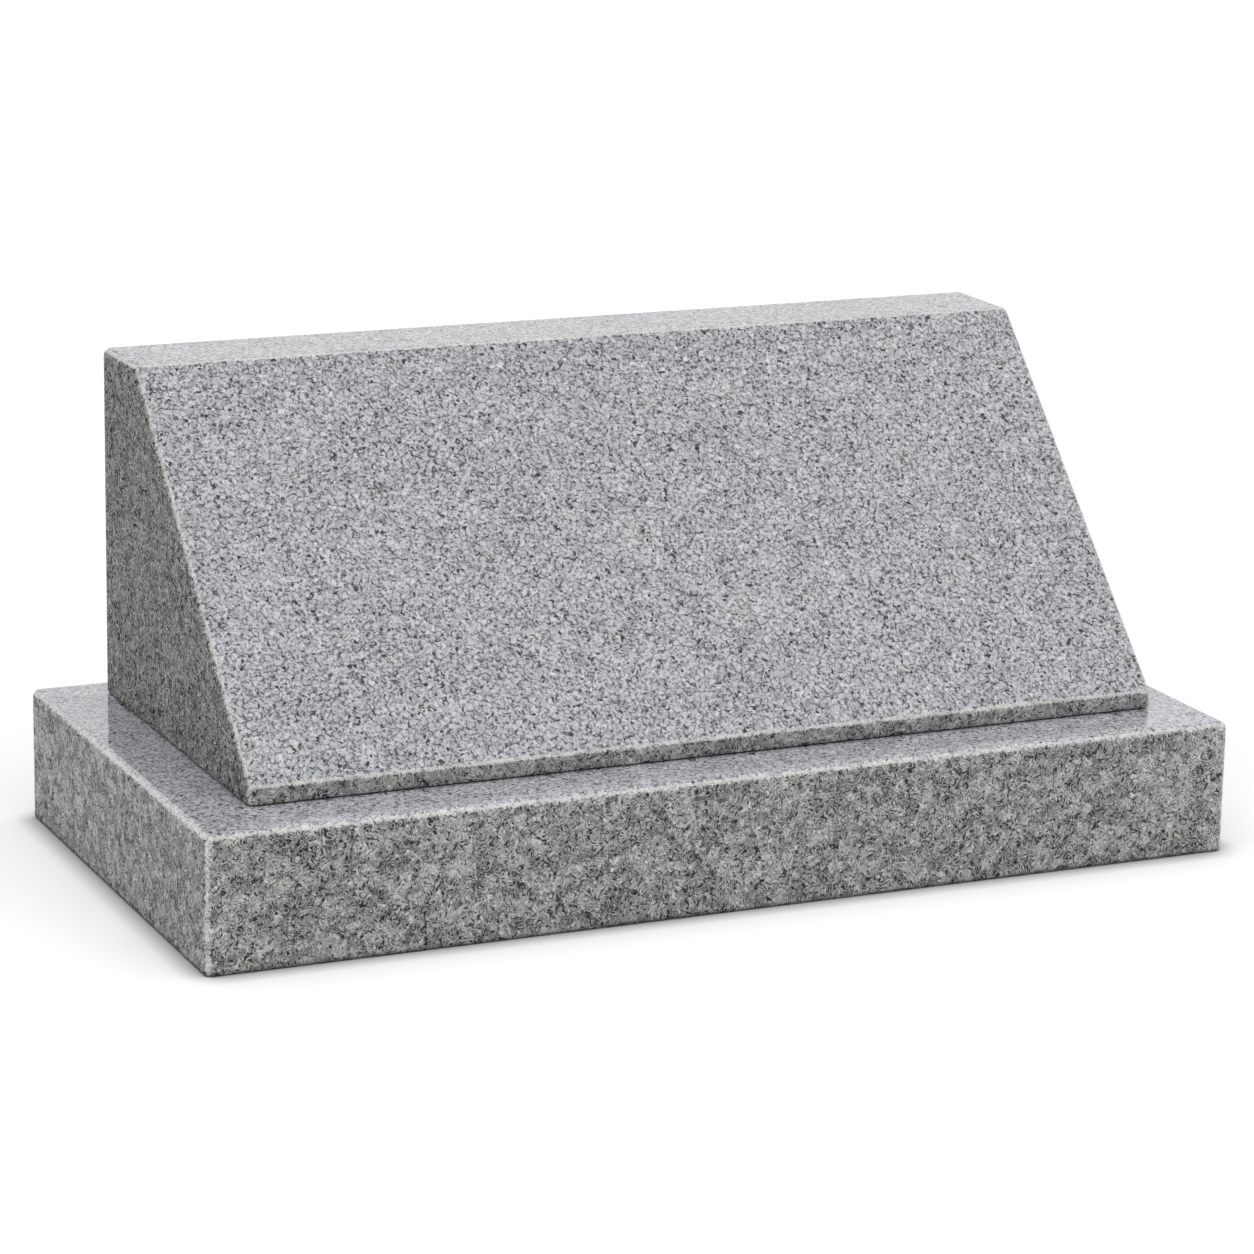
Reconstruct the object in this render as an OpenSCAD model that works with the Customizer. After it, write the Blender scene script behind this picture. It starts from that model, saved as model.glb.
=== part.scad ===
// Granite slant marker: a slant-faced stone bedded on a rectangular base stone.
// The front faces -Y, +X is to the right, and the base stands on z = 0.

/* [Slant] */
// Length of the slant, left to right
slant_length = 726; // [300:0.1:1400]
// Depth of the slant at its foot, front to back
slant_depth = 324; // [220:0.1:700]
// Height of the slant from its foot to its top
slant_height = 265; // [100:0.1:700]
// Depth of the level top of the slant
slant_top_depth = 78; // [30:0.1:180]
// Height of the upright nose below the sloping face
slant_nose_height = 13; // [10:0.1:60]

/* [Base] */
// Height of the base stone
base_height = 101.6; // [30:0.1:300]
// How far the base stands out to the left of the slant
left_margin = 50.4; // [6:0.1:250]
// How far the base stands out to the right of the slant
right_margin = 36.4; // [6:0.1:250]
// How far the base stands out in front of the slant
front_margin = 54; // [6:0.1:250]
// How far the base stands out behind the slant
back_margin = 28.4; // [6:0.1:250]

/* [Edges] */
// Radius of the eased edges and upright corners of both stones
arris_radius = 6; // [1:0.1:10]
// Width of the chamfer around the foot of the base
base_foot_chamfer = 2; // [0.2:0.1:6]
// Width of the chamfer around the foot of the slant
slant_foot_chamfer = 0.5; // [0.2:0.1:4]

/* [Setting bed] */
// Thickness of the setting compound between the two stones
bed_thickness = 1.2; // [0.6:0.1:8]
// How far the setting compound stays back from the outline of the slant
bed_inset = 8; // [5:0.1:40]

/* [Hidden] */

// Number of flats that an eased edge turns in
arris_steps = 6;
// Thickness of the slices that a stone is skinned over
slice = 0.01;

// The base is cut to the slant that it carries, with a margin on each side
base_length = left_margin + slant_length + right_margin;
base_depth = front_margin + slant_depth + back_margin;

slant_middle = (left_margin - right_margin) / 2;
slant_front = front_margin - base_depth / 2;
slant_foot = base_height + bed_thickness;
slope_run = slant_depth - slant_top_depth;
slope_rise = slant_height - slant_nose_height;

// Directions that the faces of a side profile look in, as angles from the back
back_facing = 0;
top_facing = 90;
slope_facing = 90 + atan2(slope_rise, slope_run);
front_facing = 180;

// How far an eased edge has drawn back where it has turned by an angle
function eased_back(turn) = arris_radius * (1 - cos(turn));

// Arc of a radius around a centre, between two directions
function arc(centre, radius, facing_a, facing_b) =
    [for (i = [0:arris_steps])
        let (facing = facing_a + (facing_b - facing_a) * i / arris_steps)
        centre + radius * [cos(facing), sin(facing)]];

// Centre of the arc that eases the corner between two faces
function arc_centre(corner, radius, facing_a, facing_b) =
    let (middle = (facing_a + facing_b) / 2,
         reach = radius / cos((facing_a - facing_b) / 2))
    corner - reach * [cos(middle), sin(middle)];

// Eased corner of a side profile. Its arc shrinks to its centre as the stone's
// end edge turns, which makes the corner a ball.
function eased_corner(corner, facing_a, facing_b, turn) =
    let (centre = arc_centre(corner, arris_radius, facing_a, facing_b))
    arc(centre, arris_radius * cos(turn), facing_a, facing_b);

// Side profile of the base, as [y, z] from its front foot
function base_profile(turn) = concat(
    [[eased_back(turn), base_foot_chamfer]],
    eased_corner([0, base_height], front_facing, top_facing, turn),
    eased_corner([base_depth, base_height], top_facing, back_facing, turn),
    [[base_depth - eased_back(turn), base_foot_chamfer]]
);

// Side profile of the slant, as [y, z] from its front foot
function slant_profile(turn) = concat(
    [[eased_back(turn), slant_foot_chamfer]],
    eased_corner([0, slant_nose_height], front_facing, slope_facing, turn),
    eased_corner([slope_run, slant_height], slope_facing, top_facing, turn),
    eased_corner([slant_depth, slant_height], top_facing, back_facing, turn),
    [[slant_depth - eased_back(turn), slant_foot_chamfer]]
);

// Outline of a stone's underside, inside the chamfer around its foot. Its four
// corners keep what the chamfer leaves of the upright corners' radius.
function foot_outline(length, depth, chamfer) =
    let (radius = max(arris_radius - chamfer, slice),
         x = length / 2 - chamfer)
    [for (corner = [[x, depth - chamfer, 0], [-x, depth - chamfer, 90],
                    [-x, chamfer, 180], [x, chamfer, 270]])
        let (facing = corner[2],
             centre = arc_centre([corner[0], corner[1]], radius, facing, facing + 90))
        each arc(centre, radius, facing, facing + 90)];

// Slices of a side profile at one end of a stone: they draw in towards the end,
// so the end edges are as round as the long ones
module end_slices(length, profile) {
    for (i = [1:arris_steps])
        let (turn = 90 * i / arris_steps,
             x = length / 2 - arris_radius * (1 - sin(turn)))
            translate([x - slice, 0, 0])
                rotate([90, 0, 90])
                    linear_extrude(height = slice)
                        polygon(profile(turn));
}

// Stone with eased edges, skinned over its straight middle, the slices at both
// ends and its underside. It starts at y = 0 and is centred on x = 0.
module eased_stone(length, depth, foot_chamfer, profile) {
    straight = length - 2 * arris_radius;
    hull() {
        translate([-straight / 2, 0, 0])
            rotate([90, 0, 90])
                linear_extrude(height = straight)
                    polygon(profile(0));
        end_slices(length, profile);
        mirror([1, 0, 0])
            end_slices(length, profile);
        linear_extrude(height = slice)
            polygon(foot_outline(length, depth, foot_chamfer));
    }
}

module base() {
    color("#8b8c8e")
        translate([0, -base_depth / 2, 0])
            eased_stone(base_length, base_depth, base_foot_chamfer,
                        function (turn) base_profile(turn));
}

module setting_bed() {
    color("#4a4948")
        translate([slant_middle - slant_length / 2 + bed_inset,
                   slant_front + bed_inset,
                   base_height])
            cube([slant_length - 2 * bed_inset,
                  slant_depth - 2 * bed_inset,
                  bed_thickness]);
}

module slant() {
    color("#b3b4b9")
        translate([slant_middle, slant_front, slant_foot])
            eased_stone(slant_length, slant_depth, slant_foot_chamfer,
                        function (turn) slant_profile(turn));
}

base();
setting_bed();
slant();
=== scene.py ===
# %% [markdown]
# # A granite slant marker
#
# The marker is two blocks of light grey granite. A low base lies flat on the ground. On it
# stands the slant, whose long sloping face is where a family's names would be cut. Here the
# face is bare. A thin bed of dark setting compound joins the two.
#
# The shapes come from the imported CAD model, which is the frame of this scene: every block
# has its real size and place there. What this script adds is what a camera sees of stone:
# polish, sawn roughness, worn edges with a painted highlight, and grain.

# %% Load the frame
import math

import bmesh
import bpy
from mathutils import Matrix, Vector, noise


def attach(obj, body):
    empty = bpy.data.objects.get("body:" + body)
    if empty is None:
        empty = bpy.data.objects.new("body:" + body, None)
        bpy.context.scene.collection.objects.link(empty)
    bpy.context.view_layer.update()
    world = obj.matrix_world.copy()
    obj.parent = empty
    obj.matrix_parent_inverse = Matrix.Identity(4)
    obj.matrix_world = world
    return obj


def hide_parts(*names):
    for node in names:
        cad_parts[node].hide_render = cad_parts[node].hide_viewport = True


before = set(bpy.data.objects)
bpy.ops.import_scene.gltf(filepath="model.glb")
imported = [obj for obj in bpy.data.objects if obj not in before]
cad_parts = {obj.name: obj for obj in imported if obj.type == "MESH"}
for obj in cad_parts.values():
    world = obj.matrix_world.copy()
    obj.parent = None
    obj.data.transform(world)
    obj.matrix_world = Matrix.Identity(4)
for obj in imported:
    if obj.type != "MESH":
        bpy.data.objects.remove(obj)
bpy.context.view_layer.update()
print("nodes:", sorted(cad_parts))

MM = 0.001

# %% [markdown]
# ## The camera
#
# The marker is seen from the front left and a little above, from far enough away that its
# edges run almost parallel. A camera can be placed by typing in a position and three
# angles, but then nobody can tell where it looks. Here it is swung around the point it
# aims at, which gives the same view and says what it is.

# %% Place the camera
AIM = Vector((-0.0197, -0.0400, 0.1742))
CAMERA_DISTANCE = 3.3105
CAMERA_LEFT = math.radians(24.47)
CAMERA_ABOVE = math.radians(14.67)
CAMERA_TILT = math.radians(1.07)
LENS_MM = 127.85
SENSOR_MM = 36

to_camera = Vector((
    -math.sin(CAMERA_LEFT) * math.cos(CAMERA_ABOVE),
    -math.cos(CAMERA_LEFT) * math.cos(CAMERA_ABOVE),
    math.sin(CAMERA_ABOVE),
))
camera_data = bpy.data.cameras.new("camera")
camera_data.lens = LENS_MM
camera_data.sensor_width = SENSOR_MM
camera = bpy.data.objects.new("camera", camera_data)
camera.location = AIM + CAMERA_DISTANCE * to_camera
camera.rotation_euler = to_camera.to_track_quat("Z", "Y").to_euler()
camera.rotation_euler.rotate_axis("Z", CAMERA_TILT)
scene = bpy.context.scene
scene.collection.objects.link(camera)
scene.camera = camera
print("camera at", [round(value, 3) for value in camera.location])

# %% [markdown]
# ## Nodes
#
# The room, the floor and the stones all get their looks from node trees. Trees can be drawn
# in the editor and loaded, but then a script can't show what is in them. Making and linking
# each node by hand takes many lines, so these helpers do both in one call, and a tree reads
# almost like a sum.

# %% Write helpers for nodes


def empty_tree(owner):
    """Node tree of a world or a material, cleared of what a new one holds."""
    owner.use_nodes = True
    owner.node_tree.nodes.clear()
    return owner.node_tree


def add_node(tree, kind, inputs=None, **settings):
    """A new node: inputs are numbers or other nodes' sockets, settings are its own options."""
    made = tree.nodes.new(kind)
    for name, value in settings.items():
        setattr(made, name, value)
    for key, value in (inputs or {}).items():
        if isinstance(value, bpy.types.NodeSocket):
            tree.links.new(value, made.inputs[key])
        else:
            made.inputs[key].default_value = value
    return made


def math_node(tree, operation, first, second):
    """The result of one sum on two numbers or sockets."""
    made = add_node(tree, "ShaderNodeMath", {0: first, 1: second}, operation=operation)
    return made.outputs[0]


def seen_directly(tree):
    """One where a camera, mirror or glass ray asks, and zero where light bounces."""
    path = add_node(tree, "ShaderNodeLightPath").outputs
    seen = math_node(tree, "MAXIMUM", path["Is Camera Ray"], path["Is Glossy Ray"])
    return math_node(tree, "MAXIMUM", seen, path["Is Transmission Ray"])


# %% [markdown]
# ## The studio
#
# The light is that of a catalogue picture: one very wide soft light overhead, a little in
# front, and a white room that fills the shadows. An area lamp could be the soft box, but it
# lights the floor below it more than the floor further off. A sun lamp with a wide angle
# lights near and far alike. The room is plain white to a camera or a polished stone that
# looks at it, and dimmer to light that bounces.

# %% Light the room
WHITE = (1.0, 1.0, 1.0, 1.0)
ROOM_SEEN = 1.0
ROOM_LIGHT = 0.35
SKYLIGHT_POWER = 2.2
SKYLIGHT_WIDTH = math.radians(100)
SKYLIGHT_FROM = Vector((-0.06, -0.25, 1.0))

scene.view_settings.view_transform = "Standard"
world = bpy.data.worlds.new("white_room")
scene.world = world
room = empty_tree(world)
bright = add_node(room, "ShaderNodeBackground", {"Color": WHITE, "Strength": ROOM_SEEN})
dim = add_node(room, "ShaderNodeBackground", {"Color": WHITE, "Strength": ROOM_LIGHT})
mixed = add_node(room, "ShaderNodeMixShader",
                 {0: seen_directly(room), 1: dim.outputs[0], 2: bright.outputs[0]})
add_node(room, "ShaderNodeOutputWorld", {"Surface": mixed.outputs[0]})

skylight_data = bpy.data.lights.new("skylight", "SUN")
skylight_data.energy = SKYLIGHT_POWER
skylight_data.angle = SKYLIGHT_WIDTH
skylight = bpy.data.objects.new("skylight", skylight_data)
skylight.rotation_euler = SKYLIGHT_FROM.to_track_quat("Z", "Y").to_euler()
skylight.visible_glossy = False
scene.collection.objects.link(skylight)
print("skylight", round(math.degrees(SKYLIGHT_WIDTH)), "degrees wide")

# %% [markdown]
# ## The floor
#
# The floor is matt pale paper, which keeps the marker's soft shadow. Right beside a heavy
# stone such paper looks darkest, as hardly any light gets into the corner. The lamp's own
# shadow could be made harder to show this, but then all of it would harden. An Ambient
# Occlusion node deepens that narrow line alone. A faint glow, which only the camera and
# polished stone see, lifts the lit paper to plain white.

# %% Lay the floor
FLOOR_HALF = 12.0
FLOOR_BOUNCE = 0.72
FLOOR_SEEN = 0.92
FLOOR_GLOW = 0.12
CORNER_REACH = 20 * MM
CORNER_DEPTH = 1.15
CORNER_SAMPLES = 2


def times(tree, first, second):
    """Product of two numbers or sockets."""
    return math_node(tree, "MULTIPLY", first, second)


def blend(tree, share, start, end, low=0.0, high=1.0):
    """A number that goes evenly from start to end while the share goes from low to high."""
    return add_node(tree, "ShaderNodeMapRange",
                    {"Value": share, "From Min": low, "From Max": high,
                     "To Min": start, "To Max": end}).outputs[0]


floor_mesh = bpy.data.meshes.new("floor")
paper = bmesh.new()
bmesh.ops.create_grid(paper, x_segments=1, y_segments=1, size=FLOOR_HALF)
paper.to_mesh(floor_mesh)
paper.free()
floor = bpy.data.objects.new("floor", floor_mesh)
scene.collection.objects.link(floor)
paper_white = bpy.data.materials.new("white_paper")
tree = empty_tree(paper_white)
seen = seen_directly(tree)
corner = add_node(tree, "ShaderNodeAmbientOcclusion", {"Distance": CORNER_REACH},
                  samples=CORNER_SAMPLES)
corner = math_node(tree, "POWER", corner.outputs["AO"], CORNER_DEPTH)
whiteness = times(tree, blend(tree, seen, FLOOR_BOUNCE, FLOOR_SEEN), corner)
matt = add_node(tree, "ShaderNodeBsdfDiffuse", {"Color": whiteness})
glow = times(tree, times(tree, seen, FLOOR_GLOW), corner)
glow = add_node(tree, "ShaderNodeEmission", {"Color": WHITE, "Strength": glow})
both = add_node(tree, "ShaderNodeAddShader", {0: matt.outputs[0], 1: glow.outputs[0]})
add_node(tree, "ShaderNodeOutputMaterial", {"Surface": both.outputs[0]})
floor_mesh.materials.append(paper_white)
print("floor", 2 * FLOOR_HALF, "m wide")

# %% [markdown]
# ## The granite
#
# Granite is a jumble of crystals: white feldspar, grey quartz and black mica, each a few
# millimetres across. Noise alone would give clouds without any borders. A Voronoi texture is
# the natural choice, because it is made of cells that fit together as crystals do. Its cells
# are too tidy alone, so the coordinates are first stirred with noise.
#
# These helpers keep the pattern itself short to read. Sizes in patterns and finishes are in
# millimetres. A noise is given by the size of its lumps, its detail and, where it has one,
# its offset.

# %% Write helpers for patterns
STIR_NOISE = (3.4, 1.0)
STIR_REACH = 5.0
ASIDE = (1.0, 0.7, 0.3)


def plus(tree, first, second):
    """Sum of two numbers or sockets."""
    return math_node(tree, "ADD", first, second)


def minus(tree, first, second):
    """The first number or socket less the second."""
    return math_node(tree, "SUBTRACT", first, second)


def centre(tree, share, weight):
    """Turns a number from 0 to 1 into one around zero, at the given weight."""
    return times(tree, minus(tree, share, 0.5), weight)


def step(tree, share, low, high, start=0.0, end=1.0):
    """A number that eases from start to end while the share goes from low to high."""
    return add_node(tree, "ShaderNodeMapRange",
                    {"Value": share, "From Min": low, "From Max": high,
                     "To Min": start, "To Max": end},
                    interpolation_type="SMOOTHSTEP").outputs[0]


def vector_math(tree, operation, first, second):
    """The result of one sum on two vectors."""
    key = "Scale" if operation == "SCALE" else 1
    made = add_node(tree, "ShaderNodeVectorMath", {0: first, key: second}, operation=operation)
    return made.outputs["Value" if operation == "DOT_PRODUCT" else 0]


def noise_at(tree, place, size, detail, offset=0.0, distortion=0.0, output="Fac"):
    """Noise with lumps of a size, moved aside so that no two noises match."""
    moved = vector_math(tree, "ADD", place, [offset * part for part in ASIDE])
    return add_node(tree, "ShaderNodeTexNoise", {
        "Vector": moved,
        "Scale": 1.0 / (size * MM),
        "Detail": detail,
        "Distortion": distortion,
    }).outputs[output]


def stirred(tree, place):
    """Coordinates pushed about by noise."""
    push = noise_at(tree, place, *STIR_NOISE, output="Color")
    push = vector_math(tree, "SUBTRACT", push, (0.5, 0.5, 0.5))
    return vector_math(tree, "ADD", place, vector_math(tree, "SCALE", push, STIR_REACH * MM))


print("stirred by up to", STIR_REACH / 2, "mm each way")

# %% [markdown]
# ## Crystals
#
# A crystal that is cut through shows one grey of its own, shaded across as a cleaved face
# is. A second noise could shade them, but it would run on from one crystal to the next. The
# random colour that a Voronoi texture gives each cell does both jobs and stops at the
# border: its red is the grey, and all of it together is the way the crystal leans.

# %% Grow the crystals
LARGE_CRYSTAL = 4.9
SMALL_CRYSTAL = 2.2
LEAN = 1.6


def cells(tree, place, size, feature="F1"):
    """Voronoi cells of a size."""
    return add_node(tree, "ShaderNodeTexVoronoi",
                    {"Vector": place, "Scale": 1.0 / (size * MM)}, feature=feature).outputs


def split(tree, colour):
    """The three numbers of a colour."""
    return add_node(tree, "ShaderNodeSeparateColor", {0: colour}).outputs


def crystals(tree, place, size):
    """Shade of the crystals of a size, three random numbers of each, and its centre distance."""
    crystal = cells(tree, place, size)
    lean = vector_math(tree, "SUBTRACT", crystal["Color"], (0.5, 0.5, 0.5))
    across = vector_math(tree, "SUBTRACT", place, crystal["Position"])
    across = vector_math(tree, "SCALE", across, 1.0 / (size * MM))
    slope = vector_math(tree, "DOT_PRODUCT", lean, across)
    picks = split(tree, crystal["Color"])
    shade = plus(tree, centre(tree, picks[0], 1.0), times(tree, slope, LEAN))
    return shade, picks, crystal["Distance"]


print("crystals", LARGE_CRYSTAL, "and", SMALL_CRYSTAL, "mm across")

# %% [markdown]
# ## Seams and ticks
#
# Dark minerals fill the joints between the pale crystals. A Voronoi texture can measure how
# far the nearest border is, which draws a seam around every crystal, but as evenly as the
# lead in a church window. So the seams show only where a noise is high. Where it is low,
# short ticks take their place, out where the small crystals end. They are darkest where the
# stone is crowded.

# %% Draw the seams
SEAM_WIDTH = 0.24
SEAM_SHOWS = (0.40, 0.60)
SEAM_DARKNESS = 0.72
TICK_REACH = (0.46, 0.80)
TICK_FADES = (0.40, 0.56)
TICK_CROWD = (0.3, 0.7)
TICK_GAIN = (0.4, 1.5)
TICK_DARKNESS = 0.50


def seams_and_ticks(tree, swirl, breaks, crowd, small_far):
    """How dark the lines between the crystals are."""
    rim = cells(tree, swirl, LARGE_CRYSTAL, "DISTANCE_TO_EDGE")["Distance"]
    seam = step(tree, rim, 0.0, SEAM_WIDTH, start=1.0, end=0.0)
    seam = times(tree, seam, step(tree, breaks, *SEAM_SHOWS))
    tick = step(tree, small_far, *TICK_REACH)
    tick = times(tree, tick, step(tree, breaks, *TICK_FADES, start=1.0, end=0.0))
    tick = times(tree, tick, step(tree, crowd, *TICK_CROWD, *TICK_GAIN))
    return plus(tree, times(tree, seam, SEAM_DARKNESS), times(tree, tick, TICK_DARKNESS))


print("seams fade out", round(SEAM_WIDTH * LARGE_CRYSTAL, 1), "mm from a border")

# %% [markdown]
# ## Marks of the tool
#
# A face that was sawn, rubbed or steeled is bruised: small curls run over it, and patches
# of it stay lighter or darker. Thousands of curls could be drawn as arcs. The sine of a slow,
# twisted noise gives them all at once, because its waves follow the noise as contour lines
# follow a hill. Patches are one more set of cells, larger than any crystal.

# %% Add the marks of the tool
CURL_NOISE = (8.0, 1.0, 6.1)
CURL_TWIST = 1.6
CURL_CLOSENESS = 36.0
CURL_SHOWS = (0.38, 0.62)
CURL_GAIN = (0.25, 1.0)
CURL_WEIGHT = 0.62
PATCH_SIZE = 7.5
PATCH_SHOWS = (0.1, 1.0)


def tool_marks(tree, place, swirl, breaks, curls, patches):
    """Light and dark marks of the tool, around zero."""
    wave = noise_at(tree, place, *CURL_NOISE, distortion=CURL_TWIST)
    wave = math_node(tree, "SINE", times(tree, wave, CURL_CLOSENESS), 0.0)
    wave = times(tree, wave, step(tree, breaks, *CURL_SHOWS, *CURL_GAIN))
    patch = split(tree, cells(tree, swirl, PATCH_SIZE)["Color"])[0]
    patch = centre(tree, step(tree, patch, *PATCH_SHOWS), patches)
    return plus(tree, times(tree, wave, CURL_WEIGHT * curls), patch)


print("patches", PATCH_SIZE, "mm across")

# %% [markdown]
# ## Mica and spar
#
# Black mica and white spar are the specks that catch the eye. They could be dots of their
# own, scattered over the crystals, but a real speck is a crystal among the others. So some
# of the small crystals are picked by their random numbers: as mica, more of them where the
# stone is crowded, and a few as spar.

# %% Scatter mica and spar
MICA_CROWD = (0.42, 0.68)
MICA_SHARE = (0.005, 0.09)
MICA_SOFTNESS = 0.02
MICA_DARKNESS = 0.92
SPAR_SHARE = (0.90, 0.92)
SPAR_LIGHT = 0.10


def with_flecks(tree, level, crowd, picks, flecks):
    """The brightness with some small crystals blackened to mica and a few whitened to spar."""
    share = step(tree, crowd, *MICA_CROWD, *MICA_SHARE)
    mica = step(tree, minus(tree, picks[1], share), 0.0, MICA_SOFTNESS, MICA_DARKNESS, 0.0)
    level = times(tree, level, minus(tree, 1.0, times(tree, mica, flecks)))
    spar = times(tree, step(tree, picks[2], *SPAR_SHARE), flecks)
    return plus(tree, level, times(tree, spar, SPAR_LIGHT))


print("mica:", round(100 * MICA_SHARE[1]), "in 100 small crystals where it is crowded")

# %% [markdown]
# ## One pattern for every face
#
# All of this comes together in a node group, so that every finish can share it. Each finish
# could have its own copy of the nodes, but the group keeps them alike, and is plugged in
# like a single node. Three versions of it are made: clear grain for polished faces, and two
# with the marks of the tool and with fainter seams and fine grain.

# %% Put the pattern together
FINE_NOISE = (0.9, 0.0, 1.3)
BREAK_NOISE = (2.6, 1.0, 2.9)
CROWD_NOISE = (7.0, 1.0, 8.3)
BLOTCH_NOISE = (26.0, 2.0, 4.1)
LARGE_WEIGHT = 0.20
SMALL_WEIGHT = 0.24
CROWD_WEIGHT = 0.35
DARKEST = 0.005
LIGHTEST = 0.80
WARM_SHOWS = (0.44, 0.66)
FINISH_INPUTS = ("Light", "Contrast", "Blotches", "Flecks")


def granite_group(name, seams, fine_weight, curls=0.0, patches=0.0):
    """Node group that gives the granite's brightness, and how warm its colour is."""
    group = bpy.data.node_groups.new(name, "ShaderNodeTree")
    for label in FINISH_INPUTS:
        group.interface.new_socket(label, in_out="INPUT", socket_type="NodeSocketFloat")
    for label in ("Value", "Warmth"):
        group.interface.new_socket(label, in_out="OUTPUT", socket_type="NodeSocketFloat")
    given = add_node(group, "NodeGroupInput").outputs
    place = add_node(group, "ShaderNodeTexCoord").outputs["Object"]
    swirl = stirred(group, place)
    fine = noise_at(group, place, *FINE_NOISE)
    breaks = noise_at(group, place, *BREAK_NOISE)
    crowd = noise_at(group, place, *CROWD_NOISE)
    blotch = noise_at(group, place, *BLOTCH_NOISE)
    large, _, _ = crystals(group, swirl, LARGE_CRYSTAL)
    small, picks, small_far = crystals(group, swirl, SMALL_CRYSTAL)

    mix = plus(group, times(group, large, LARGE_WEIGHT), times(group, small, SMALL_WEIGHT))
    mix = plus(group, mix, centre(group, fine, fine_weight))
    mix = plus(group, mix, centre(group, crowd, CROWD_WEIGHT))
    lines = seams_and_ticks(group, swirl, breaks, crowd, small_far)
    mix = minus(group, mix, times(group, lines, seams))
    if curls:
        mix = plus(group, mix, tool_marks(group, place, swirl, breaks, curls, patches))
    mix = times(group, mix, given["Contrast"])
    mix = plus(group, mix, centre(group, blotch, given["Blotches"]))
    level = times(group, plus(group, mix, 1.0), given["Light"])
    level = with_flecks(group, level, crowd, picks, given["Flecks"])
    level = add_node(group, "ShaderNodeClamp", {0: level, 1: DARKEST, 2: LIGHTEST}).outputs[0]
    warm = step(group, times(group, plus(group, blotch, crowd), 0.5), *WARM_SHOWS)
    add_node(group, "NodeGroupOutput", {"Value": level, "Warmth": warm})
    return group


CLEAR_GRAIN = granite_group("clear_grain", seams=1.0, fine_weight=0.5)
SAWN_GRAIN = granite_group("sawn_grain", seams=0.5, fine_weight=0.15, curls=1.0, patches=0.25)
ROUGH_GRAIN = granite_group("rough_grain", seams=0.5, fine_weight=0.15, curls=1.12, patches=0.48)
print("patterns:", [group.name for group in bpy.data.node_groups])

# %% [markdown]
# ## Wear, painted highlight and painted shade at the foot
#
# Edges are rubbed round by hand, which frosts them: near an edge every finish turns paler
# and duller, with a ragged border. That pale band is partly wear and partly a painted
# highlight where the rounded edges catch the light. The bands could be painted on, but every
# change of size would move them. So each point of a stone carries a number, from_edge, which
# is its distance from the nearest edge, and the finish turns to the pale band where that is
# small. At the very foot a thin dark line is painted shade: the contact shadow where the
# stone meets the floor. It goes by height alone.

# %% Blend in wear, painted highlight and painted foot shade
RAG_NOISE = (2.2, 1.0)
RAG_REACH = 6.0
WEAR_BLEND = 0.8
# The pale band along the edges, partly wear and partly painted highlight: its contrast, flecks
# and tint
WEAR_AND_HIGHLIGHT_CONTRAST = 0.4
WEAR_AND_HIGHLIGHT_FLECKS = 0.15
WEAR_AND_HIGHLIGHT_TINT = (1.0, 0.996, 0.984)
WORN_ROUGHNESS = 0.45
# Painted shade: a thin dark line along the foot stands for the contact shadow on the floor
FOOT_SHADE_LOW = 1.0
FOOT_SHADE_HIGH = 3.4
FOOT_SHADE_LEVEL = 0.6
WARMTH = 0.02


def wear_and_highlight_share(tree, place, wear_and_highlight_to):
    """One along the edges' band of wear and painted highlight, zero on the rest, ragged between.
    """
    from_edge = add_node(tree, "ShaderNodeAttribute", attribute_name="from_edge").outputs["Fac"]
    rags = centre(tree, noise_at(tree, place, *RAG_NOISE), RAG_REACH * MM)
    return step(tree, plus(tree, from_edge, rags), (wear_and_highlight_to - WEAR_BLEND) * MM,
                (wear_and_highlight_to + WEAR_BLEND) * MM, start=1.0, end=0.0)


def painted_foot_shade(tree, place):
    """How much light the painted shade at the foot leaves, darker towards the bottom."""
    height = add_node(tree, "ShaderNodeSeparateXYZ", {0: place}).outputs["Z"]
    return blend(tree, height, FOOT_SHADE_LEVEL, 1.0, FOOT_SHADE_LOW * MM, FOOT_SHADE_HIGH * MM)


def tinted(tree, shade, wear_and_highlight, warm, tint):
    """Colour of a grey: the finish's tint or that of the edge band of wear and painted
    highlight, a little warmer in places.
    """
    # A warm place has slightly more red, and less blue by twice as much
    # Along the edges the tint turns to that of the band of wear and painted highlight
    shares = [blend(tree, wear_and_highlight, plain, rubbed) for plain, rubbed in zip(tint, WEAR_AND_HIGHLIGHT_TINT)]
    shares[0] = times(tree, shares[0], blend(tree, warm, 1.0, 1.0 + WARMTH))
    shares[2] = times(tree, shares[2], blend(tree, warm, 1.0, 1.0 - 2 * WARMTH))
    channels = {channel: times(tree, shade, share) for channel, share in enumerate(shares)}
    return add_node(tree, "ShaderNodeCombineColor", channels).outputs[0]


# The height up to which the foot is darkened by painted shade
print("damp up to", FOOT_SHADE_HIGH, "mm")

# %% [markdown]
# ## Five finishes of one stone
#
# All faces are the same rock, and differ in how the mason has worked them. The slope is
# polished, and the base's top is polished and waxed. The slant's ends are sawn, its nose and
# back are rubbed, and the base's sides are steeled, which leaves them rough. Polish shows the
# crystals clear and bright. Rougher work bruises them, so it looks darker, softer and curled.
# The sawn ends are set darker still, partly for their finish and partly as painted shade.
# Five materials could be drawn by hand, but one function that mixes them all from the same
# pattern keeps them one stone: crystals run on from face to face. Pits that are too small
# for the mesh are a bump in the material.

# %% Mix a finish
DULLED = 1.4
PIT_NOISE = (2.8, 1.0)
WAX_ROUGHNESS = 0.06


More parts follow.
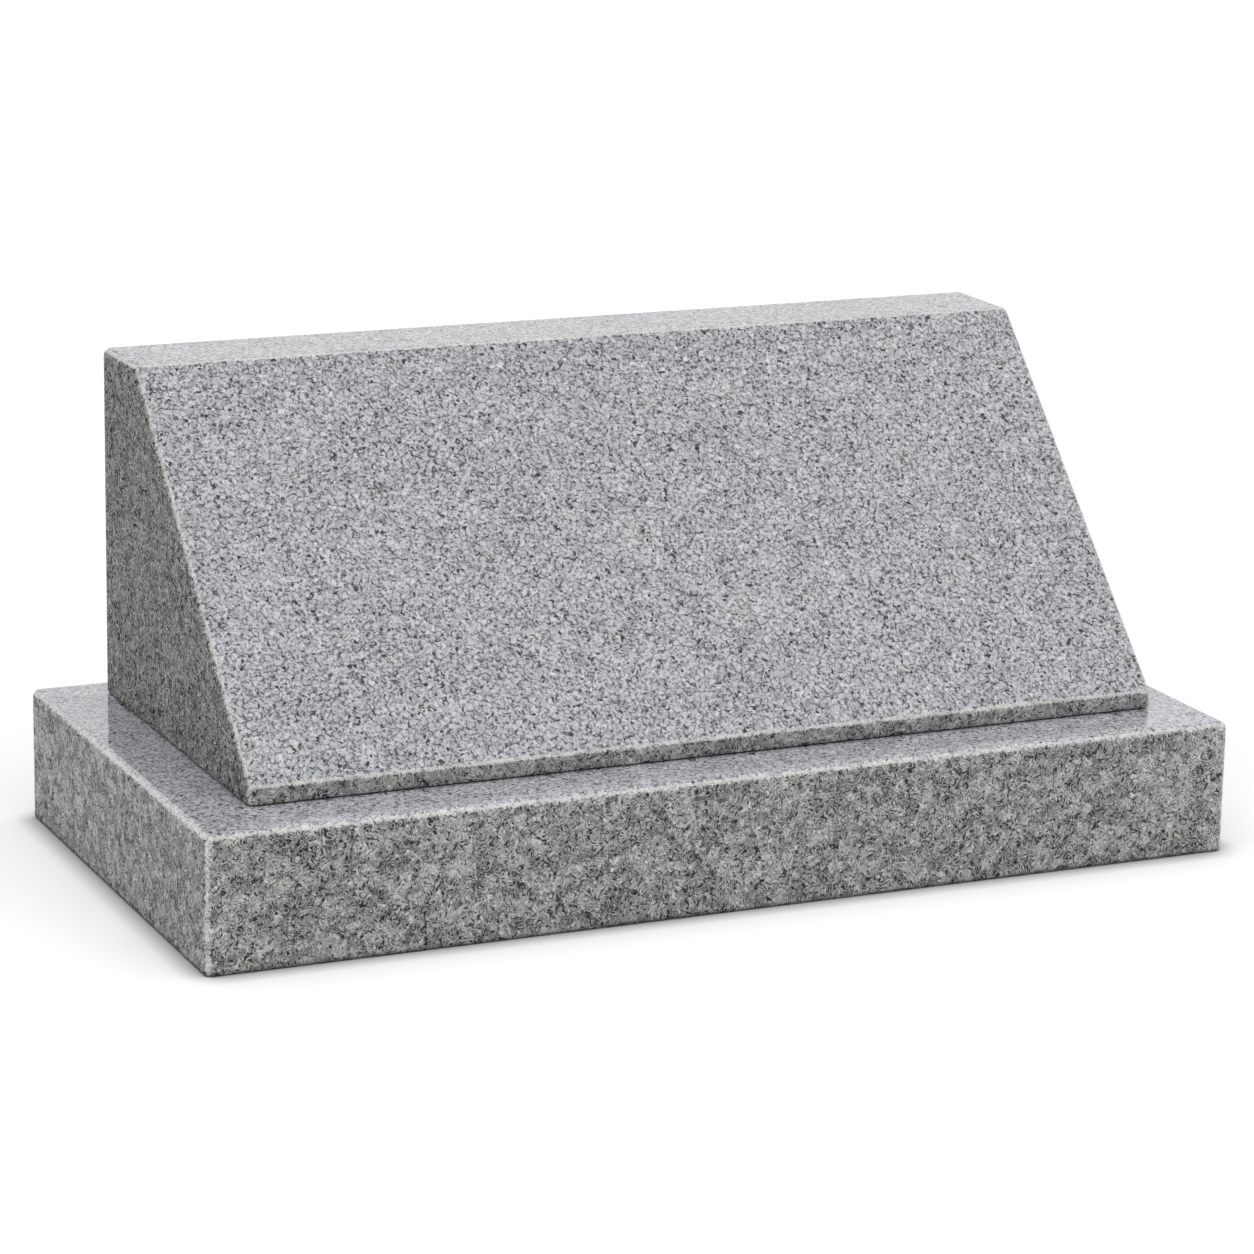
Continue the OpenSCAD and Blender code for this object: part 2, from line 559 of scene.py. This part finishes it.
def stone_finish(name, grain_group, light, contrast, blotches, tint, roughness, pits=0.0,
                 flecks=1.0, shine=0.5, wear_and_highlight_light=0.66, wear_and_highlight_to=3.0, wax=0.0):
    """Material of one granite finish. Pits are as deep, and the band of wear and painted
    highlight along the edges as wide, as given in mm.
    """
    material = bpy.data.materials.new(name)
    tree = empty_tree(material)
    place = add_node(tree, "ShaderNodeTexCoord").outputs["Object"]
    wear_and_highlight = wear_and_highlight_share(tree, place, wear_and_highlight_to)
    grain = add_node(tree, "ShaderNodeGroup", {
        # Near the edges the grain turns paler: partly wear, partly painted highlight
        "Light": blend(tree, wear_and_highlight, light, wear_and_highlight_light),
        "Contrast": blend(tree, wear_and_highlight, contrast, WEAR_AND_HIGHLIGHT_CONTRAST * contrast),
        "Blotches": blotches,
        "Flecks": blend(tree, wear_and_highlight, flecks, WEAR_AND_HIGHLIGHT_FLECKS * flecks),
    }, node_tree=grain_group).outputs
    # The grey is darkened at the foot by painted shade
    shade = times(tree, grain["Value"], painted_foot_shade(tree, place))
    dulled = blend(tree, grain["Warmth"], roughness, DULLED * roughness)
    surface = add_node(tree, "ShaderNodeBsdfPrincipled", {
        "Base Color": tinted(tree, shade, wear_and_highlight, grain["Warmth"], tint),
        "Roughness": blend(tree, wear_and_highlight, dulled, WORN_ROUGHNESS),
        "Specular IOR Level": shine,
        "Coat Weight": wax,
        "Coat Roughness": WAX_ROUGHNESS,
    })
    if pits:
        relief = add_node(tree, "ShaderNodeBump", {
            "Height": noise_at(tree, place, *PIT_NOISE),
            "Strength": 1.0,
            "Distance": pits * MM,
        })
        tree.links.new(relief.outputs[0], surface.inputs["Normal"])
    add_node(tree, "ShaderNodeOutputMaterial", {"Surface": surface.outputs[0]})
    return material


# %% [markdown]
# ## Numbers of the finishes
#
# The finishes differ in a few numbers each. They could be worked out from roughness alone,
# as more bruises make a face both rougher and darker, but masons' tools don't keep to a
# formula. The numbers are therefore set finish by finish, by trial. Light and contrast are
# those of the grain, and the tint of polished stone is a little blue.

# %% Make the five finishes
POLISHED = stone_finish(
    "polished_granite", CLEAR_GRAIN, light=0.525, contrast=1.06, blotches=0.3,
    tint=(0.976, 0.993, 1.06), roughness=0.08)
WAXED = stone_finish(
    "waxed_granite", CLEAR_GRAIN, light=0.535, contrast=0.95, blotches=0.25,
    tint=(0.98, 0.995, 1.085), roughness=0.06, wax=0.35)
# Painted shade: the sawn ends are set darker than the steeled sides, partly for the saw's finish
# and partly as shade painted on the ends
SAWN_AND_SHADED = stone_finish(
    "sawn_and_shaded_granite", SAWN_GRAIN, light=0.31, contrast=1.65, blotches=0.25,
    tint=(1.0, 1.0, 0.995), roughness=0.6, pits=0.3, flecks=0.25, shine=0.05,
    wear_and_highlight_light=0.55)
RUBBED = stone_finish(
    "rubbed_granite", ROUGH_GRAIN, light=0.335, contrast=1.12, blotches=0.3,
    tint=(1.0, 1.0, 1.0), roughness=0.4, pits=0.3, flecks=0.35, shine=0.4)
STEELED = stone_finish(
    "steeled_granite", ROUGH_GRAIN, light=0.37, contrast=1.27, blotches=0.3,
    tint=(1.0, 1.0, 1.0), roughness=0.65, pits=0.6, flecks=0.4, wear_and_highlight_to=3.4)
print("finishes:", [finish.name for finish in (POLISHED, WAXED, SAWN_AND_SHADED, RUBBED, STEELED)])

# %% [markdown]
# ## The two stones
#
# Each stone starts as a copy of its CAD block, because a new box with bevelled edges would
# only come near its size. The copy's loose triangles are merged, and its flat faces are
# dissolved back into single faces.

# %% Copy a block
MERGED = 0.03 * MM
FLAT = math.radians(0.5)


def block_copy(node):
    """Clean bmesh of a CAD node: merged, with one face for each flat."""
    stone = bmesh.new()
    stone.from_mesh(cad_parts[node].data)
    bmesh.ops.remove_doubles(stone, verts=stone.verts, dist=MERGED)
    bmesh.ops.dissolve_limit(stone, angle_limit=FLAT, verts=stone.verts, edges=stone.edges)
    print(node, "has", len(stone.faces), "faces after merging")
    return stone


# %% [markdown]
# ## Points along the edges
#
# An eased edge of the copy is a few strips as long as the stone, with points at their ends
# only, so nothing could be chipped out of it. A remesh would put points everywhere, but it
# would blur the edges too. Instead the long edges are cut into steps, those of nearly one
# length by the same number, so that the cuts meet. The whole flats need no points, and are
# filled with a fan from their middle.

# %% Cut the long edges
STEP = 2.6 * MM
LEAST_STEPS = 3
ALIGNED = 0.99999
ALIKE = 1.25
BIG_FACE = 20e-4


def faces_along(stone, normal):
    """Faces that look exactly along a normal."""
    return [face for face in stone.faces if face.normal.dot(normal) > ALIGNED]


def cut_along(stone, direction, flats):
    """Cuts the long edges of a direction into steps, and keeps the whole flats uncut."""
    edges = []
    for edge in stone.edges:
        run = edge.verts[1].co - edge.verts[0].co
        if run.length > LEAST_STEPS * STEP and abs(run.normalized().dot(direction)) > ALIGNED:
            edges.append(edge)
    edges.sort(key=lambda edge: edge.calc_length())
    alike = {}
    shortest = edges[0].calc_length()
    for edge in edges:
        if edge.calc_length() > ALIKE * shortest:
            shortest = edge.calc_length()
        alike.setdefault(shortest, []).append(edge)
    for length, members in alike.items():
        cuts = round(length / STEP) - 1
        bmesh.ops.subdivide_edges(stone, edges=members, cuts=cuts, use_grid_fill=True)
    for normal in flats:
        bmesh.ops.dissolve_faces(stone, faces=faces_along(stone, normal))


def fan_flats(stone, flats):
    """Fills each whole flat with a fan from its middle, and returns the points around it."""
    around = set()
    for normal in flats:
        faces = [face for face in faces_along(stone, normal) if face.calc_area() > BIG_FACE]
        for face in faces:
            around.update(face.verts)
        bmesh.ops.poke(stone, faces=faces, center_mode="MEAN")
    return around


# %% [markdown]
# ## Distance from the edge
#
# Wear, and the painted highlight along the edges, follow the edges. Each point of a stone gets
# a number, its distance from the nearest sharp edge that the block would have had. It could be
# measured to each of the edges, but the flats that meet there are simpler: it is the second
# smallest of the distances to the block's flats. Blunt edges, such as the one at the top of the
# slope, are rubbed less and get a narrower painted highlight, so their distances count for
# more. The finishes read the number, and so does the chipping.

# %% Measure from the edges
BLUNT_SHARE = 2.6
DOWNWARD = -0.1
MOSTLY = 0.5


def block_planes(stone):
    """Point and normal of each large flat, but not of the underside and its foot."""
    return [(face.calc_center_median(), face.normal.copy()) for face in stone.faces
            if face.calc_area() > BIG_FACE and face.normal.z > DOWNWARD]


def measure_edges(stone, planes):
    """Writes each point's distance from the nearest sharp edge into from_edge."""
    layer = stone.verts.layers.float.new("from_edge")
    for vert in stone.verts:
        depths = [((place - vert.co).dot(normal), normal) for place, normal in planes]
        depths.sort(key=lambda pair: pair[0])
        nearest = depths[0][1]
        others = [depth * (BLUNT_SHARE if nearest.dot(normal) > MOSTLY else 1.0)
                  for depth, normal in depths[1:]]
        vert[layer] = max(0.0, min(others))
    return layer


# %% [markdown]
# ## Dents and chips
#
# Steeled sides are dented by a fraction of a millimetre, and every edge has lost small
# chips. A bump in the material alone would leave the outline ruler straight, so the points
# really move. They only ever sink, which keeps a stone inside its true size. Both come from
# noise: a fractal one for the dents, and only the peaks of a plain one for the chips.

# %% Roughen a stone
DENT_SIZE = 9 * MM
DENT_ROUGHNESS = 0.8
DENT_DOUBLING = 2.0
DENT_OCTAVES = 3
DENT_MIDDLE = 0.5
DENT_SPREAD = 0.7
CHIP_SIZE = 5.5 * MM
CHIP_ASIDE = Vector((7.3, 1.9, 4.4))
CHIP_SPARED = 0.15
CHIP_REACH = 5 * MM


def dent(place):
    """How deep a side is dented at a place, from 0 to 1."""
    swell = noise.fractal(place / DENT_SIZE, DENT_ROUGHNESS, DENT_DOUBLING, DENT_OCTAVES)
    return min(1.0, max(0.0, DENT_MIDDLE + DENT_SPREAD * swell))


def chip(place, from_edge):
    """How deep a chip is at a place, less the further it is from the edge."""
    if from_edge >= CHIP_REACH:
        return 0.0
    bite = noise.noise(place / CHIP_SIZE + CHIP_ASIDE)
    return max(0.0, bite - CHIP_SPARED) * (1 - from_edge / CHIP_REACH)


def roughen(stone, layer, still, dented_along, dents, chips):
    """Sinks every point that may move by its share of the deepest dent and chip."""
    stone.normal_update()
    depths = {}
    for vert in stone.verts:
        if vert in still:
            continue
        depths[vert] = chips * chip(vert.co, vert[layer])
        if any(abs(vert.normal.dot(side)) > MOSTLY for side in dented_along):
            depths[vert] += dents * dent(vert.co)
    for vert, depth in depths.items():
        if depth > 0:
            vert.co -= vert.normal * depth
    print("deepest point", round(max(depths.values()) / MM, 2), "mm")


# %% [markdown]
# ## A finish for every face
#
# Which finish a face gets follows from the way it looks: up, to the side, or to the front
# and back. Faces could be picked one by one, but a rule still works when a size changes.
# Whole flats are shaded flat, because they are perfectly even, and all that lies between
# them is shaded smooth. The finished stone then takes its CAD block's place.

# %% Finish a stone


def finish_faces(stone, flats, ends_differ):
    """Gives each face its finish, and smooths all but the whole flats."""
    for face in stone.faces:
        if face.normal.z > MOSTLY:
            face.material_index = 0
        elif ends_differ and abs(face.normal.y) > MOSTLY:
            face.material_index = 2
        else:
            face.material_index = 1
        face.smooth = not any(face.normal.dot(flat) > ALIGNED for flat in flats)


def work_stone(stone, directions, flats, chips, dents=0.0, dented_along=(), ends_differ=False):
    """Cuts, finishes and roughens the copy of a block."""
    planes = block_planes(stone)
    for direction in directions:
        cut_along(stone, direction, flats)
    still = fan_flats(stone, flats)
    layer = measure_edges(stone, planes)
    finish_faces(stone, flats, ends_differ)
    roughen(stone, layer, still, dented_along, dents, chips)


def make_piece(name, stone, node, finishes):
    """Puts a finished bmesh in the scene in place of a CAD node."""
    mesh = bpy.data.meshes.new(name)
    stone.to_mesh(mesh)
    stone.free()
    for finish in finishes:
        mesh.materials.append(finish)
    piece = bpy.data.objects.new(name, mesh)
    scene.collection.objects.link(piece)
    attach(piece, "root")
    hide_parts(node)
    mesh.calc_loop_triangles()
    print(name, "has", len(mesh.loop_triangles), "triangles")


# %% [markdown]
# ## The base
#
# The base is a plain slab with eased edges, a level top and steeled sides. Its sides could
# be left as single faces, like the top, but then they would have no points to dent. So only
# the top and the underside stay whole, and the sides become a fine grid.

# %% Make the base stone
X = Vector((1, 0, 0))
Y = Vector((0, 1, 0))
Z = Vector((0, 0, 1))
BASE_DENTS = 0.3 * MM
BASE_CHIPS = 0.9 * MM

base_block = block_copy("base")
work_stone(base_block, directions=(X, Z, Y), flats=(Z, -Z),
           chips=BASE_CHIPS, dents=BASE_DENTS, dented_along=(X, Y))
make_piece("base_stone", base_block, "base", (WAXED, STEELED))

# %% [markdown]
# ## The slant
#
# The slant is a wedge whose flats are all perfectly even, so only its eased edges need
# points. The angle of its slope could be copied from the CAD source, but it is safer to find
# the face itself by its normal. The edges that run up the slope are cut along their own
# direction.

# %% Make the slant stone
SLOPING = (0.1, 0.9)
SLANT_CHIPS = 0.7 * MM

slant_block = block_copy("slant")
slope_normal = next(normal for place, normal in block_planes(slant_block)
                    if SLOPING[0] < normal.z < SLOPING[1])
slope_run = slope_normal.cross(X).normalized()
work_stone(slant_block, directions=(X, Z, Y, slope_run),
           flats=(Z, -Z, X, -X, Y, slope_normal), chips=SLANT_CHIPS, ends_differ=True)
make_piece("slant_stone", slant_block, "slant", (POLISHED, SAWN_AND_SHADED, RUBBED))

# %% [markdown]
# ## The setting bed
#
# Setting compound is a dark putty, pressed out thin under the weight of the slant. Only its
# rim shows, in the shadow of the seam. A new sheet could be modelled with a squeezed-out rim,
# but the CAD slab has the right shape for what shows. It stays, and gets a material: almost
# black, a little uneven in tone and gloss, with fine pits.

# %% Dress the setting bed
SMEAR_NOISE = (6.0, 4.0)
PUTTY_DARK = 0.006
PUTTY_PALE = 0.05
PUTTY_TINT = (1.0, 0.96, 0.90)
PUTTY_DULL = 0.95
PUTTY_GLOSSY = 0.55
PUTTY_PITS = 0.15

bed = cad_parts["setting_bed"]
putty = bpy.data.materials.new("setting_putty")
tree = empty_tree(putty)
place = add_node(tree, "ShaderNodeTexCoord").outputs["Object"]
smears = noise_at(tree, place, *SMEAR_NOISE)
tone = blend(tree, smears, PUTTY_DARK, PUTTY_PALE)
channels = {channel: times(tree, tone, share) for channel, share in enumerate(PUTTY_TINT)}
putty_pits = add_node(tree, "ShaderNodeBump",
                      {"Height": smears, "Strength": 1.0, "Distance": PUTTY_PITS * MM})
putty_surface = add_node(tree, "ShaderNodeBsdfPrincipled", {
    "Base Color": add_node(tree, "ShaderNodeCombineColor", channels).outputs[0],
    "Roughness": blend(tree, smears, PUTTY_DULL, PUTTY_GLOSSY),
    "Normal": putty_pits.outputs[0],
})
add_node(tree, "ShaderNodeOutputMaterial", {"Surface": putty_surface.outputs[0]})
bed.data.materials.clear()
bed.data.materials.append(putty)
print("setting bed is", [round(value, 4) for value in bed.dimensions], "m")
